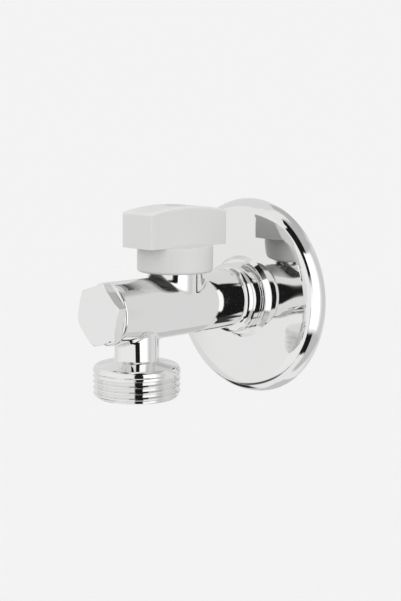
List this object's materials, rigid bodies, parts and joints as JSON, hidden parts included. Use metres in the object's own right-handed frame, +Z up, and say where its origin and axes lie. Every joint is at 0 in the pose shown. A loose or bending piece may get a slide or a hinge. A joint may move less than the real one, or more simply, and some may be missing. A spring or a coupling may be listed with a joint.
{
  "type": "washing machine valve",
  "caption": "Chrome angle ball valve for a washing machine hose, with a wall rosette, a threaded outlet pointing down, a hexagon front plug and a plastic T handle.",
  "frame": {"origin": "where the axis of the inlet thread meets the wall plane, which is the back of the rosette's rim", "axes": "+Z up, towards the handle; +Y into the wall along the inlet thread; the outlet points along -Z"},
  "size_m": [0.0638, 0.0774, 0.0638],
  "materials": {
    "chrome_body": "polished plating",
    "chrome_plug": "polished plating",
    "chrome_rosette": "polished plating",
    "ball_chrome": "polished plating",
    "brass": "turned",
    "seat_plastic": "waxy",
    "seal_rubber": "matt",
    "handle_plastic": "satin",
    "cap_plastic": "satin",
    "screw_steel": "plain"
  },
  "bodies": {
    "valve": {"valve_body": "chrome_body", "front_plug": "chrome_plug", "plug_seal_ring": "seal_rubber", "rear_seat": "seat_plastic", "front_seat": "seat_plastic", "seat_retainer": "brass", "slip_washer": "seat_plastic", "gland_nut": "brass", "rosette": "chrome_rosette"},
    "turning_handle": {"handle": "handle_plastic", "handle_screw": "screw_steel", "handle_cap": "cap_plastic", "stem": "brass", "stem_ring_lower": "seal_rubber", "stem_ring_upper": "seal_rubber", "ball": "ball_chrome"}
  },
  "joints": [
    {"name": "handle_turn", "type": "hinge", "parent": "valve", "child": "turning_handle", "pos_m": [0, -0.0343, 0], "axis": [0, 0, 1], "range_deg": [-90, 0]}
  ]
}
